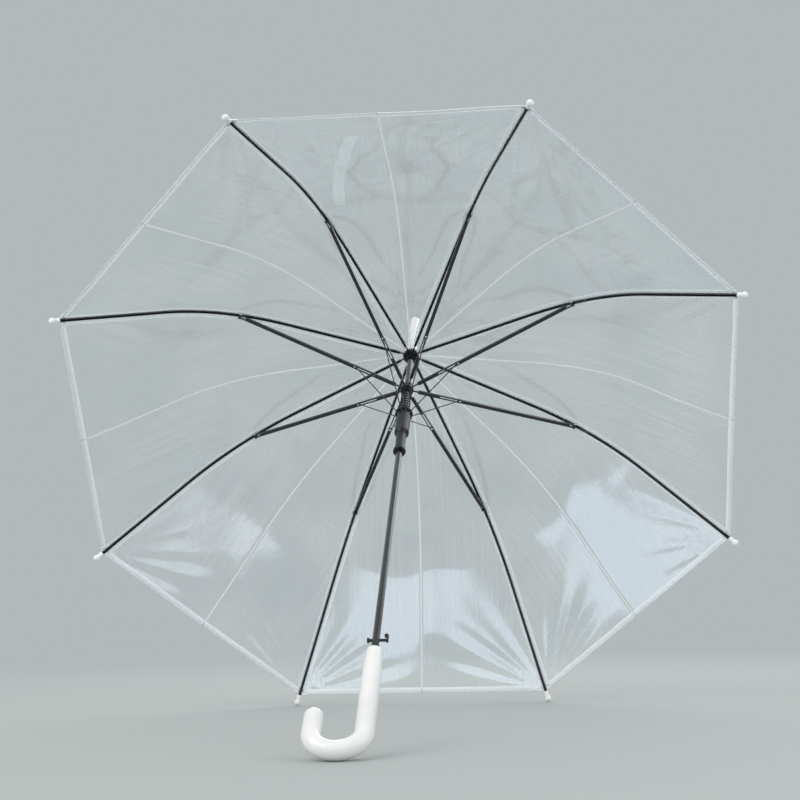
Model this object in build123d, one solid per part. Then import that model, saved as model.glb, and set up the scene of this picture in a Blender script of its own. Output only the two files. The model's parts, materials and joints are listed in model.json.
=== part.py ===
from build123d import *
import os
from math import atan2, cos, degrees, hypot, pi, radians, sin, sqrt

# A clear stick umbrella, lying open on the ground on two rib tips and its crook.
# Every piece is drawn in the umbrella's own frame: the shaft lies along Z, with the rib hinges
# at z = 0 and the handle at larger z, and the crook turns towards -X. The last step lays it down.

# ---- overall sizes (mm) ----
tip_radius = 480.0             # axis to the end of a rib cap, open
rib_count = 8
fit_gap = 0.05                 # radial gap of a push fit
run_gap = 0.10                 # radial gap of a running fit
free_gap = 0.30                # gap beside a piece that swings past another
press_gap = 0.02               # gap round a pressed-in wire or rivet
cut_over = 1.0                 # how far a cutting tool runs past the face it cuts
edge = 0.8                     # broken edge of a moulded or turned piece

# ---- shaft ----
shaft_radius = 4.1
shaft_wall = 0.8
shaft_tail = 112.0             # shaft past the rib hinges, inside the ferrule
shaft_in_handle = 58.0

# ---- ribs: straight, one bend, straight ----
hinge_radius = 8.0             # axis to the rib and stretcher hinge pins
rib_width = 3.4
rib_depth = 2.8
rib_wall = 0.5
rib_rise = 9.8                 # slope of the inner straight, degrees
rib_inner_run = 181.9
rib_bend_radius = 312.0
rib_bend = 34.7                # degrees
tongue_thick = 1.5
tongue_length = 11.0
tongue_half_height = 1.3
tongue_overlap = 2.0           # tongue inside the channel that carries it
lug_margin = 0.6               # joint lug past the rib's own depth
ring_wire_radius = 0.6

# ---- stretchers ----
arm_length = 250.0             # hinge to joint on the rib, and joint to hinge on the stretcher
joint_drop = 3.2               # joint pin inside the rib's centre line
stretcher_depth = 3.4
stretcher_wall = 0.6
stretcher_width = rib_width + 2 * (stretcher_wall + run_gap)
rivet_radius = 1.0
rivet_head_radius = 1.9
rivet_head_height = 0.7
fork_length = 9.0
stretcher_root = 3.0           # solid stretch behind the runner tongue

# ---- push wires, from the stretchers to the lower slider ----
wire_radius = 0.75
wire_share = 0.28              # where the wire meets the stretcher, from its runner end
wire_seat_radius = 9.6
wire_slot_back = 29.0          # slot in the stretcher's web that the wire swings through
wire_slot_front = 3.0
wire_pin_over = 0.8            # cross pin past the stretcher's cheeks
wire_seat_wall = 1.4           # slot's floor inside the wire

# ---- rib caps ----
cap_length = 15.0
cap_collar_radius = 3.3
cap_collar_length = 4.0
cap_neck_radius = 3.0
cap_ball_radius = 4.4
cap_socket_depth = 4.5

# ---- crown ----
crown_radius = hinge_radius + 3.5
crown_lip_radius = hinge_radius + 1.4
crown_top = 0.9                # crown above the hinge plane
crown_depth = 5.0              # crown below the hinge plane
crown_rim_depth = 1.6          # slope from the lip to the rim
crown_hub_radius = shaft_radius + 1.7
crown_hub_depth = 14.0
washer_radius = crown_radius - 0.5
washer_thick = 2.2
ferrule_radius = 7.6
ferrule_base_radius = 9.6
ferrule_base_height = 3.0
ferrule_length = 118.0

# ---- runner, spring and lower slider ----
runner_radius = hinge_radius + 1.1
runner_above = 6.0
runner_below = 8.0
runner_slot_depth = 2.4        # slots past the hinge plane
runner_waist = 2.6             # runner's end turned down to seat the spring
slider_drop = 74.5             # lower slider's wire seats below the runner's hinges
slider_flange_radius = 12.0
slider_flange_half = 1.8
slider_body_radius = 9.6
slider_body_length = 54.0
slider_neck_radius = shaft_radius + 2.4
slider_length = 104.0          # wire seats to the end of its ring
slider_ring_radius = slider_neck_radius + 1.7
slider_ring_height = 4.0
slider_slot_depth = 11.0       # slots below the wire seats
slider_shoulder = 3.0          # taper from the body to the neck
spring_wire_radius = 0.6
spring_coil_radius = shaft_radius + 2.3
spring_turns = 9
spring_seat_gap = 0.1

# ---- release catch and handle ----
catch_place = 691.0            # hinge plane to the catch's cross pin
catch_pin_radius = 1.7
catch_knob_radius = 2.9
catch_knob_height = 2.6
catch_hook_reach = 13.4
catch_hook_thick = 2.2
catch_hook_width = 4.0
catch_nose_height = 9.0
catch_travel = 2.5
catch_hook_root = 2.0          # hook past the pin's line
catch_edge = 1.6               # slanted corner of the hook's nose
leaf_thick = 0.35
leaf_half_width = 1.1
leaf_height = 15.5
handle_rim = 709.0             # hinge plane to the handle's rim
handle_rim_radius = 8.7
handle_radius = 10.1
handle_taper = 36.0
handle_round = 2.4
crook_radius = 26.4            # centre line
crook_start = 841.0
crook_leg = 24.0               # free leg before its round end

# ---- film ----
film_thick = 0.3
film_hole = shaft_radius + 1.1
film_sag = 7.0                 # how far a panel's middle line hangs in
film_bend_steps = 12
film_gap = 0.9                 # film over the rib it crosses, so that it clears the corners
film_hem_room = 0.7            # room under the washer for the film's gathered edge
strap_width = 14.0
strap_run = 193.0              # its length along the panel
strap_thick = 0.5
strap_hem_gap = 59.0           # strap's outer end to the hem
strap_outer_side = 0.77        # share of the way from the rib to the panel's middle line
strap_inner_side = 0.30


# ---------------------------------------------------------------- rib geometry
def rib_point(s, inward=0.0):
    """Point (r, z) and slope in degrees at length s along a rib, moved inward square to it."""
    slope = rib_rise
    r = hinge_radius + min(s, rib_inner_run) * cos(radians(rib_rise))
    z = min(s, rib_inner_run) * sin(radians(rib_rise))
    if s > rib_inner_run:
        turn = min(degrees((s - rib_inner_run) / rib_bend_radius), rib_bend)
        slope = rib_rise + turn
        r += rib_bend_radius * (sin(radians(slope)) - sin(radians(rib_rise)))
        z += rib_bend_radius * (cos(radians(rib_rise)) - cos(radians(slope)))
        rest = s - rib_inner_run - rib_bend_radius * radians(rib_bend)
        if rest > 0:
            r += rest * cos(radians(slope))
            z += rest * sin(radians(slope))
    r -= inward * sin(radians(slope))
    z += inward * cos(radians(slope))
    return r, z, slope


bend_end = rib_inner_run + rib_bend_radius * radians(rib_bend)
cap_end = bend_end + (tip_radius - rib_point(bend_end)[0]) / cos(radians(rib_rise + rib_bend))
corner = cap_end - cap_length                       # where the cap's collar starts


def joint_length():
    """Length along the rib at which the joint pin is one arm away from the rib's hinge."""
    low, high = 0.0, bend_end
    for _ in range(60):
        middle = (low + high) / 2
        r, z, _ = rib_point(middle, joint_drop)
        if hypot(r - hinge_radius, z) < arm_length:
            low = middle
        else:
            high = middle
    return low


joint_s = joint_length()
joint_r, joint_z, joint_slope = rib_point(joint_s, joint_drop)
arm_rise = degrees(atan2(joint_z, joint_r - hinge_radius))
runner_z = 2 * joint_z                              # equal arms put the runner at twice the joint's depth
slider_z = runner_z + slider_drop
slider_end = slider_z + slider_length
rib_turns = [22.5 + 45.0 * k for k in range(rib_count)]
half_step = 180.0 / rib_count


def spun(shape, angle):
    return Rot(0, 0, angle) * shape


def turned(points):
    """Solid of revolution about the shaft from its (r, z) outline."""
    outline = Plane.XZ * make_face(Polyline(*points, close=True))
    return revolve(outline, Axis.Z)


def bar(start, end, radius):
    """Round rod between two points."""
    way = Vector(*end) - Vector(*start)
    return Plane(origin=start, z_dir=way) * extrude(Circle(radius), way.length)


# ---------------------------------------------------------------- ribs and caps
def rib():
    """U-section rib along X, open towards the handle, with its hinge tongue and joint lug."""
    def at(s):
        r, z, _ = rib_point(s)
        return Vector(r, 0, z)

    first = tongue_length - tongue_overlap
    last = corner + cap_socket_depth
    path = Line(at(first), at(rib_inner_run))
    path += ThreePointArc(at(rib_inner_run), at((rib_inner_run + bend_end) / 2), at(bend_end))
    path += Line(at(bend_end), at(last))
    channel = Rectangle(rib_width, rib_depth)
    channel -= Pos(0, rib_wall) * Rectangle(rib_width - 2 * rib_wall, rib_depth)
    along = Vector(cos(radians(rib_rise)), 0, sin(radians(rib_rise)))
    body = sweep(Plane(origin=at(first), x_dir=(0, 1, 0), z_dir=along) * channel, path=path)

    hinge = Plane(origin=(hinge_radius, 0, 0), x_dir=along, z_dir=(0, -1, 0))
    tongue = Rectangle(tongue_length, 2 * tongue_half_height, align=(Align.MIN, Align.CENTER))
    tongue += Circle(tongue_half_height)
    tongue -= Circle(ring_wire_radius + run_gap)
    body += hinge * extrude(tongue, tongue_thick / 2, both=True)

    slope = radians(joint_slope)
    lug_place = Plane(
        origin=(joint_r, 0, joint_z), x_dir=(cos(slope), 0, sin(slope)), z_dir=(0, -1, 0)
    )
    lug = Circle(rib_depth / 2 + lug_margin)
    lug += Pos(0, -joint_drop / 2) * Rectangle(rib_depth + 2 * lug_margin, joint_drop)
    lug -= Circle(rivet_radius + run_gap)
    body += lug_place * extrude(lug, rib_width / 2, both=True)
    return body


def cap():
    """Moulded cap pushed on the rib's end: collar, neck and ball."""
    r, z, slope = rib_point(corner)
    ball_place = cap_length - cap_ball_radius
    neck_meets_ball = ball_place - sqrt(cap_ball_radius**2 - cap_neck_radius**2)
    outline = Polyline(
        (0, 0), (cap_collar_radius - edge, 0), (cap_collar_radius, edge),
        (cap_collar_radius, cap_collar_length - edge),
        (cap_neck_radius, cap_collar_length), (cap_neck_radius, neck_meets_ball),
    )
    outline += ThreePointArc(
        (cap_neck_radius, neck_meets_ball), (cap_ball_radius, ball_place), (0, cap_length)
    )
    outline += Line((0, cap_length), (0, 0))
    body = revolve(Plane.XZ * make_face(outline), Axis.Z)
    socket = Rectangle(rib_width + 2 * fit_gap, rib_depth + 2 * fit_gap)
    body -= extrude(socket, cap_socket_depth + 2 * fit_gap)
    way = (cos(radians(slope)), 0, sin(radians(slope)))
    return Plane(origin=(r, 0, z), x_dir=(0, 1, 0), z_dir=way) * body


# ---------------------------------------------------------------- stretchers and push wires
def stretcher_plane():
    """Runner hinge at the origin, the joint along X, the rib's side along Z."""
    rise = radians(arm_rise)
    return Plane(
        origin=(hinge_radius, 0, runner_z), x_dir=(cos(rise), 0, -sin(rise)),
        z_dir=(-sin(rise), 0, -cos(rise)),
    )


def stretcher():
    """Channel open towards the rib, a fork at the joint and a tongue at the runner."""
    inner = stretcher_width - 2 * stretcher_wall
    start = tongue_length - tongue_overlap
    length = arm_length - start
    body = Pos(start, 0, 0) * Box(
        length, stretcher_width, stretcher_depth, align=(Align.MIN, Align.CENTER, Align.CENTER)
    )
    body += Pos(arm_length, 0, 0) * Rot(90, 0, 0) * Cylinder(stretcher_depth / 2, stretcher_width)
    body -= Pos(start - cut_over, 0, stretcher_wall) * Box(
        length + fork_length, inner, stretcher_depth, align=(Align.MIN, Align.CENTER, Align.CENTER)
    )
    body -= Pos(arm_length - fork_length, 0, 0) * Box(
        2 * fork_length, inner, 2 * stretcher_depth, align=(Align.MIN, Align.CENTER, Align.CENTER)
    )
    wire_at = wire_share * arm_length
    body -= Pos(wire_at - wire_slot_back, 0, 0) * Box(
        wire_slot_back + wire_slot_front, 2 * (wire_radius + free_gap), 2 * stretcher_depth,
        align=(Align.MIN, Align.CENTER, Align.CENTER),
    )
    tongue = Rectangle(start + stretcher_root, 2 * tongue_half_height, align=(Align.MIN, Align.CENTER))
    tongue += Circle(tongue_half_height)
    body += Rot(90, 0, 0) * extrude(tongue, tongue_thick / 2, both=True)
    root = Pos(start, 0, -stretcher_depth / 2) * Box(
        stretcher_root, stretcher_width, stretcher_depth / 2 + tongue_half_height,
        align=(Align.MIN, Align.CENTER, Align.MIN),
    )
    body += root
    drill = stretcher_width + 2 * cut_over
    body -= Rot(90, 0, 0) * Cylinder(ring_wire_radius + run_gap, drill)
    body -= Pos(wire_at, 0, 0) * Rot(90, 0, 0) * Cylinder(wire_radius + run_gap, drill)
    body -= Pos(arm_length, 0, 0) * Rot(90, 0, 0) * Cylinder(rivet_radius + press_gap, drill)
    rivet = Rot(90, 0, 0) * Cylinder(rivet_radius, stretcher_width + 2 * rivet_head_height)
    for side in (-1, 1):
        head_y = side * (stretcher_width / 2 + rivet_head_height / 2)
        rivet += Pos(0, head_y, 0) * Rot(90, 0, 0) * Cylinder(rivet_head_radius, rivet_head_height)
    rivet = Pos(arm_length, 0, 0) * rivet
    return stretcher_plane() * Compound(children=[body.solid(), rivet.solid()])


wire_r = hinge_radius + wire_share * arm_length * cos(radians(arm_rise))
wire_z = runner_z - wire_share * arm_length * sin(radians(arm_rise))


def push_wire():
    """Wire with a cross pin in the stretcher's cheeks, and its plain end in the slider's slot."""
    half_pin = stretcher_width / 2 + wire_pin_over
    pin = bar((wire_r, -half_pin, wire_z), (wire_r, half_pin, wire_z), wire_radius)
    rod = bar((wire_r, 0, wire_z), (wire_seat_radius, 0, slider_z), wire_radius)
    return pin + rod


# ---------------------------------------------------------------- crown and ferrule
def radial_slots(width, inner, low, high):
    """Eight radial slots, one in each rib's plane."""
    reach = 2 * slider_flange_radius
    slot = Pos(inner, 0, low) * Box(reach, width, high - low, align=(Align.MIN, Align.CENTER, Align.MIN))
    return [spun(slot, turn) for turn in rib_turns]


def crown():
    bore = shaft_radius + fit_gap
    body = turned([
        (bore, -crown_top), (crown_lip_radius, -crown_top), (crown_radius, crown_rim_depth),
        (crown_radius, crown_depth - edge), (crown_radius - edge, crown_depth),
        (crown_hub_radius + edge, crown_depth), (crown_hub_radius, crown_depth + edge),
        (crown_hub_radius, crown_hub_depth), (bore, crown_hub_depth),
    ])
    slot_top, slot_end = -crown_top - cut_over, crown_depth + cut_over
    for slot in radial_slots(tongue_thick + 2 * free_gap, crown_hub_radius, slot_top, slot_end):
        body -= slot
    body -= Torus(hinge_radius, ring_wire_radius + press_gap)
    return Compound(children=[body.solid(), Torus(hinge_radius, ring_wire_radius)])


film_offset = rib_depth / 2 + film_gap              # rib centre line to the film's inner face
film_lift = film_offset + film_thick
washer_z = -(film_lift + free_gap + film_hem_room)  # washer's face over the film


def crown_washer():
    bore = shaft_radius + fit_gap
    return turned([
        (bore, washer_z), (washer_radius - edge, washer_z), (washer_radius, washer_z - edge),
        (washer_radius, washer_z - washer_thick + edge), (washer_radius - edge, washer_z - washer_thick),
        (bore, washer_z - washer_thick),
    ])


ferrule_z = washer_z - washer_thick
ferrule_end = ferrule_z - ferrule_length


def ferrule():
    """White sleeve over the shaft's tail, with a rounded end."""
    nose = Polyline(
        (0, ferrule_z), (ferrule_base_radius, ferrule_z),
        (ferrule_base_radius, ferrule_z - ferrule_base_height + edge),
        (ferrule_base_radius - edge, ferrule_z - ferrule_base_height),
        (ferrule_radius, ferrule_z - ferrule_base_height - edge),
        (ferrule_radius, ferrule_end + ferrule_radius),
    )
    quarter = ferrule_radius * sin(radians(45))
    nose += ThreePointArc(
        (ferrule_radius, ferrule_end + ferrule_radius),
        (quarter, ferrule_end + ferrule_radius - quarter), (0, ferrule_end),
    )
    nose += Line((0, ferrule_end), (0, ferrule_z))
    body = revolve(Plane.XZ * make_face(nose), Axis.Z)
    depth = shaft_tail + fit_gap + ferrule_z
    return body - Pos(0, 0, ferrule_z) * Cylinder(
        shaft_radius + fit_gap, depth, align=(Align.CENTER, Align.CENTER, Align.MAX)
    )


# ---------------------------------------------------------------- runner, spring, slider
def runner():
    bore = shaft_radius + run_gap
    top, low = runner_z - runner_above, runner_z + runner_below
    spring_seat = spring_coil_radius + spring_wire_radius / 2
    body = turned([
        (bore, top), (runner_radius - edge, top), (runner_radius, top + edge),
        (runner_radius, low - runner_waist), (spring_seat, low - runner_waist + edge),
        (spring_seat, low), (bore, low),
    ])
    slot_top, slot_end = top - cut_over, runner_z + runner_slot_depth
    for slot in radial_slots(tongue_thick + 2 * free_gap, crown_hub_radius, slot_top, slot_end):
        body -= slot
    hinge_plane = Pos(0, 0, runner_z)
    body -= hinge_plane * Torus(hinge_radius, ring_wire_radius + press_gap)
    return Compound(children=[body.solid(), hinge_plane * Torus(hinge_radius, ring_wire_radius)])


def coil_spring():
    """Opening spring between the runner and the lower slider."""
    start = runner_z + runner_below + spring_wire_radius + spring_seat_gap
    end = slider_z - slider_flange_half - spring_wire_radius - spring_seat_gap
    height = end - start
    line = Helix(height / spring_turns, height, spring_coil_radius)
    section = Plane(origin=line @ 0, z_dir=line % 0) * Circle(spring_wire_radius)
    return Pos(0, 0, start) * sweep(section, path=line, is_frenet=True)


def lower_slider():
    bore = shaft_radius + run_gap
    flange_top, flange_low = slider_z - slider_flange_half, slider_z + slider_flange_half
    body_low = slider_z + slider_body_length
    ring_top = slider_end - slider_ring_height
    body = turned([
        (bore, flange_top), (slider_flange_radius - edge, flange_top),
        (slider_flange_radius, flange_top + edge), (slider_flange_radius, flange_low - edge),
        (slider_flange_radius - edge, flange_low), (slider_body_radius, flange_low),
        (slider_body_radius, body_low - edge), (slider_body_radius - edge, body_low),
        (slider_neck_radius, body_low + slider_shoulder), (slider_neck_radius, ring_top - edge),
        (slider_ring_radius, ring_top), (slider_ring_radius, slider_end - edge),
        (slider_ring_radius - edge, slider_end), (bore, slider_end),
    ])
    seat = wire_seat_radius - wire_radius - wire_seat_wall
    slot_top, slot_end = flange_top - cut_over, slider_z + slider_slot_depth
    for slot in radial_slots(2 * wire_radius + 2 * free_gap, seat, slot_top, slot_end):
        body -= slot
    return body


# ---------------------------------------------------------------- shaft, catch, handle
def shaft():
    low = handle_rim + shaft_in_handle
    tube = Pos(0, 0, -shaft_tail) * Cylinder(
        shaft_radius, shaft_tail + low, align=(Align.CENTER, Align.CENTER, Align.MIN)
    )
    tube -= Pos(0, 0, -shaft_tail - cut_over) * Cylinder(
        shaft_radius - shaft_wall, shaft_tail + low + 2 * cut_over,
        align=(Align.CENTER, Align.CENTER, Align.MIN),
    )
    cross_hole = Rot(0, 90, 0) * Cylinder(catch_pin_radius + run_gap, 4 * shaft_radius)
    return tube - Pos(0, 0, catch_place) * cross_hole


def release_catch():
    """Cross pin through the shaft with a push knob on one side and a hook on the other."""
    knob_seat = -(shaft_radius + catch_travel + free_gap)
    knob_face = knob_seat - catch_knob_height
    outer, inner = catch_hook_reach, catch_hook_reach - catch_hook_thick
    pin = bar((knob_seat, 0, catch_place), (inner, 0, catch_place), catch_pin_radius)
    knob = bar((knob_face, 0, catch_place), (knob_seat, 0, catch_place), catch_knob_radius)
    knob = fillet(knob.faces().sort_by(Axis.X)[0].edges(), edge)
    root = catch_place + catch_hook_root
    top = catch_place - catch_nose_height
    curl = slider_ring_radius + 2 * free_gap
    hook = Polyline(
        (inner, root), (outer - edge, root), (outer, root - edge),
        (outer, top + catch_edge), (outer - catch_edge, top), (curl + edge, top), (curl, top + edge),
        (curl, top + catch_edge), (inner, top + 2 * catch_edge), close=True,
    )
    hook = extrude(Plane.XZ * make_face(hook), catch_hook_width / 2, both=True)
    return pin + knob + hook


def catch_spring():
    """Leaf bent inside the shaft under the catch's pin."""
    wall = shaft_radius - shaft_wall - fit_gap
    top = catch_place + catch_pin_radius + free_gap
    side = sqrt(wall**2 - leaf_half_width**2) - press_gap
    inside = side - leaf_thick
    shoulder = top + leaf_height
    peak = shoulder + inside / 2
    tip, elbow = shaft_radius / 4, top + leaf_height / 3
    leaf = Polyline(
        (-side, top + 2 * edge), (-inside, top + 2 * edge), (-inside, shoulder), (0, peak),
        (inside, shoulder), (inside, elbow), (tip, top), (tip + leaf_thick, top),
        (side, elbow), (side, shoulder + leaf_thick), (0, peak + 2 * leaf_thick),
        (-side, shoulder + leaf_thick), close=True,
    )
    return extrude(Plane.XZ * make_face(leaf), leaf_half_width, both=True)


def handle():
    """Crook handle: tapered grip, half turn and a free leg with a round end."""
    rim, start = handle_rim, crook_start
    grip = Line((0, rim), (handle_rim_radius - handle_round, rim))
    grip += RadiusArc((handle_rim_radius - handle_round, rim), (handle_rim_radius, rim + handle_round),
                      handle_round)
    grip += Polyline((handle_rim_radius, rim + handle_round), (handle_radius, rim + handle_taper),
                     (handle_radius, start), (0, start), (0, rim))
    body = revolve(Plane.XZ * make_face(grip), Axis.Z)
    section = Plane(origin=(0, 0, start), z_dir=(0, 0, 1)) * Circle(handle_radius)
    bend_axis = Axis((-crook_radius, 0, start), (0, -1, 0))
    body += revolve(section, bend_axis, 180)
    leg_top = start - crook_leg
    body += Pos(-2 * crook_radius, 0, leg_top) * Cylinder(
        handle_radius, crook_leg, align=(Align.CENTER, Align.CENTER, Align.MIN)
    )
    body += Pos(-2 * crook_radius, 0, leg_top) * Sphere(handle_radius)
    return body - Pos(0, 0, rim - cut_over) * Cylinder(
        shaft_radius + fit_gap, shaft_in_handle + cut_over + fit_gap,
        align=(Align.CENTER, Align.CENTER, Align.MIN),
    )


# ---------------------------------------------------------------- film
first_station = (film_hole - hinge_radius) / cos(radians(rib_rise))
last_station = corner - 0.5
film_edge = 0.004              # share of a half panel's width left free at each edge


def film_point(s, across):
    """Point of the film's inner face: across runs from 0 on the rib to 1 on the panel's middle line."""
    if s < 0:
        slope = radians(rib_rise)
        r = hinge_radius + s * cos(slope) + film_offset * sin(slope)
        z = s * sin(slope) - film_offset * cos(slope)
    else:
        r, z, _ = rib_point(s, -film_offset)
    share = max(s, 0.0) / last_station
    middle_r = r * cos(radians(half_step))
    sag = film_sag * sin(pi * share)
    rib_side = Vector(r * cos(radians(half_step)), -r * sin(radians(half_step)), z)
    middle = Vector(middle_r - 0.4 * sag, 0, z + sag)
    return rib_side + (middle - rib_side) * across


def film_solid(stations, sides, lift, thick):
    """Thin sheet as a run of straight strips, each station between its two shares of the way across."""
    sections = []
    for s, (low, high) in zip(stations, sides):
        a, b = film_point(s, low), film_point(s, high)
        slope = radians(rib_rise if s < 0 else rib_point(s)[2])
        out = Vector(sin(slope), 0, -cos(slope))
        lower = [a + out * lift, b + out * lift]
        upper = [b + out * (lift + thick), a + out * (lift + thick)]
        sections.append(make_face(Polyline(*(lower + upper), close=True)))
    return loft(sections, ruled=True)


bend_step = (bend_end - rib_inner_run) / film_bend_steps
film_stations = [first_station, rib_inner_run / 2]
film_stations += [rib_inner_run + bend_step * k for k in range(film_bend_steps + 1)]
film_stations += [(bend_end + last_station) / 2, last_station]


def half_panel(side):
    """Half of one panel, from the rib to the panel's middle line, about the panel's own plane."""
    sides = [(film_edge, 1 - film_edge)] * len(film_stations)
    sheet = film_solid(film_stations, sides, 0.0, film_thick)
    return sheet if side < 0 else mirror(sheet, about=Plane.XZ)


def half_width(s):
    return rib_point(s)[0] * sin(radians(half_step))


def tie_strap():
    """Closing strap lying slantwise on the outside of one half panel."""
    outer = last_station - strap_hem_gap
    inner = outer - strap_run
    stations = [inner] + [s for s in film_stations if inner < s < outer] + [outer]
    slant = atan2(strap_outer_side * half_width(outer) - strap_inner_side * half_width(inner), strap_run)
    sides = []
    for s in stations:
        middle = strap_inner_side + (strap_outer_side - strap_inner_side) * (s - inner) / strap_run
        half = strap_width / 2 / cos(slant) / half_width(s)
        sides.append((middle - half, middle + half))
    return film_solid(stations, sides, film_thick + free_gap, strap_thick)


# ---------------------------------------------------------------- the pieces, by name
parts = {
    "shaft": shaft(),
    "crown": crown(),
    "crown_washer": crown_washer(),
    "ferrule": ferrule(),
    "handle": handle(),
    "release_catch": release_catch(),
    "catch_spring": catch_spring(),
    "runner": runner(),
    "opening_spring": coil_spring(),
    "lower_slider": lower_slider(),
}
rib_shape, cap_shape, stretcher_shape, wire_shape = rib(), cap(), stretcher(), push_wire()
left_half, right_half = half_panel(-1), half_panel(1)
for k, turn in enumerate(rib_turns, start=1):
    parts[f"rib_{k}"] = spun(rib_shape, turn)
    parts[f"rib_cap_{k}"] = spun(cap_shape, turn)
    parts[f"stretcher_{k}"] = spun(stretcher_shape, turn)
    parts[f"push_wire_{k}"] = spun(wire_shape, turn)
    # the panel after rib k starts at that rib; the panel before it ends there
    parts[f"film_{k}_after"] = spun(left_half, turn + half_step)
    parts[f"film_{k}_before"] = spun(right_half, turn - half_step)
strap_panel = rib_turns[2] - half_step
parts["tie_strap"] = spun(mirror(tie_strap(), about=Plane.XZ), strap_panel)

# ---------------------------------------------------------------- laying it down
tip_r, tip_z, _ = rib_point(cap_end - cap_ball_radius)
low_tip = tip_r * cos(radians(half_step))           # the two lowest ribs lie half a step off the bottom


def lean():
    """Angle of the shaft to the ground with two caps and the crook touching it."""
    low, high = 5.0, 80.0
    for _ in range(60):
        middle = radians((low + high) / 2)
        tips = -low_tip * cos(middle) - tip_z * sin(middle) - cap_ball_radius
        crook = -(crook_start + crook_radius) * sin(middle) - handle_radius
        if crook > tips:
            low = degrees(middle)
        else:
            high = degrees(middle)
    return low


tilt = lean()
down = radians(tilt)
laid = Plane(origin=(0, 0, 0), x_dir=(1, 0, 0), z_dir=(0, -cos(down), -sin(down)))
parts = {name: laid.location * shape for name, shape in parts.items()}
boxes = [shape.bounding_box() for shape in parts.values()]
low_x, high_x = min(b.min.X for b in boxes), max(b.max.X for b in boxes)
low_y, high_y = min(b.min.Y for b in boxes), max(b.max.Y for b in boxes)
low_z = min(b.min.Z for b in boxes)
shift = Pos(-(low_x + high_x) / 2, -(low_y + high_y) / 2, -low_z)

if __name__ == "__main__":
    os.makedirs("parts", exist_ok=True)
    for name, shape in parts.items():
        export_step(shift * shape, f"parts/{name}.step")
    print(f"tilt {tilt:.2f}, joint at r {joint_r:.1f} z {joint_z:.1f}, runner at z {runner_z:.1f}")
    print(f"slider ring ends at z {slider_end:.1f}, cap end {rib_point(cap_end)[:2]}")
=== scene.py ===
# %% [markdown]
# # A clear stick umbrella
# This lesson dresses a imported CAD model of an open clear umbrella. The steel frame, the slider, the
# handle and the caps come from the CAD model and only get their finishes here. The soft parts are
# built as meshes: the film canopy with its welded seams, hems and creases, the joint guards and the
# tie strap. Everything is in metres, in the CAD model's own frame.

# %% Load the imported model
import json
import math

import bpy
import numpy as np
from mathutils import Matrix, Vector


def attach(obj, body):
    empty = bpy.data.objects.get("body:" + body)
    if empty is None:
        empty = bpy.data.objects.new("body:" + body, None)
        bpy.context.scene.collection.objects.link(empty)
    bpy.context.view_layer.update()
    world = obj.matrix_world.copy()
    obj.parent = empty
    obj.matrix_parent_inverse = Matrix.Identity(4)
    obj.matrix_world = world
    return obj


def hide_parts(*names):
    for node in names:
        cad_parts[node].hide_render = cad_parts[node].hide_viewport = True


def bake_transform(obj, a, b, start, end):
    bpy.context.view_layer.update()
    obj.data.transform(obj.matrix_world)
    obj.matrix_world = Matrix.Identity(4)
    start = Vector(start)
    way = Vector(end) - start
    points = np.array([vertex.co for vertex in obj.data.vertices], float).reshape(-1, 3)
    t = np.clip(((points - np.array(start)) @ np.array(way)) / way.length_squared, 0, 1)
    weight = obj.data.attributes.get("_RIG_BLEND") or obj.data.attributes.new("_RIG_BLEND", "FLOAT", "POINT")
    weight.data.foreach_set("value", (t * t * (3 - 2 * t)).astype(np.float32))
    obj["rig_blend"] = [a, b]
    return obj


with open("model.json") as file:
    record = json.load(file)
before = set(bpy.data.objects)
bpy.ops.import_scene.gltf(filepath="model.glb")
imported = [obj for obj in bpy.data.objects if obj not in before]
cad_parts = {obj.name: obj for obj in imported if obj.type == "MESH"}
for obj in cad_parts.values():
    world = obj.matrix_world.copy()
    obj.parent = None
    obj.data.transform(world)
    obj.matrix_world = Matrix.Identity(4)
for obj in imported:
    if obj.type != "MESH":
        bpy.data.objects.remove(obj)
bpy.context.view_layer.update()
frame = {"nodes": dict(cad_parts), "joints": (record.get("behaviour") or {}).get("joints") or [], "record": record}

# %% [markdown]
# ## The umbrella's own axes
# The umbrella lies tilted on the ground, so it is easier to think in its own axes. The ferrule's
# mount gives the line of the shaft, and the eight rib hinges lie on a small circle round the crown,
# so their mean is the crown's centre. From here on a place is given as a radius from the shaft, a
# turn round it, and a depth from the crown towards the handle.

# %% Find the crown and the shaft's line
joints = {j["name"]: j for j in frame["joints"]}
mounts = {m["name"]: m for m in frame["record"]["mounts"]}
RIBS = sum(name.startswith("rib_") and name.count("_") == 1 for name in frame["nodes"])
HALF_STEP = math.pi / RIBS     # turn from a rib to the middle of a panel

hinge_names = ["canopy_fold"] + [f"rib_{k}_fold" for k in range(2, RIBS + 1)]
hinges = [Vector(joints[name]["pos_m"]) for name in hinge_names]
crown = sum(hinges, Vector()) / RIBS
hinge_radius = (hinges[0] - crown).length
shaft_way = -Vector(mounts["ferrule_shank"]["axis"]).normalized()
side_way = Vector((1, 0, 0))
rise_way = shaft_way.cross(side_way)
rib_turns = [math.atan2((h - crown).dot(rise_way), (h - crown).dot(side_way)) for h in hinges]
axes = np.array([side_way, rise_way, shaft_way])
print("crown", [round(v, 4) for v in crown], "ribs", RIBS, "hinge radius", round(hinge_radius, 4))


# %% Place a point in these axes
def place(r, turn, z):
    """Points from radius, turn and depth; any of them may be an array."""
    r, turn, z = np.broadcast_arrays(*(np.asarray(v, float) for v in (r, turn, z)))
    own = np.stack([r * np.cos(turn), r * np.sin(turn), z], axis=-1)
    return np.array(crown) + own @ axes


print("the shaft's line 0.8 m down is at", place(0, 0, 0.8).round(3))

# %% [markdown]
# ## The line of a rib
# A rib is roll-formed in one piece: straight from its hinge, bent once, then straight to its cap. The
# film is stretched over the ribs, so the same line, moved outward a little, shapes the canopy. Two
# straights and an arc say it exactly, where a free curve would only come near it.

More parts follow.
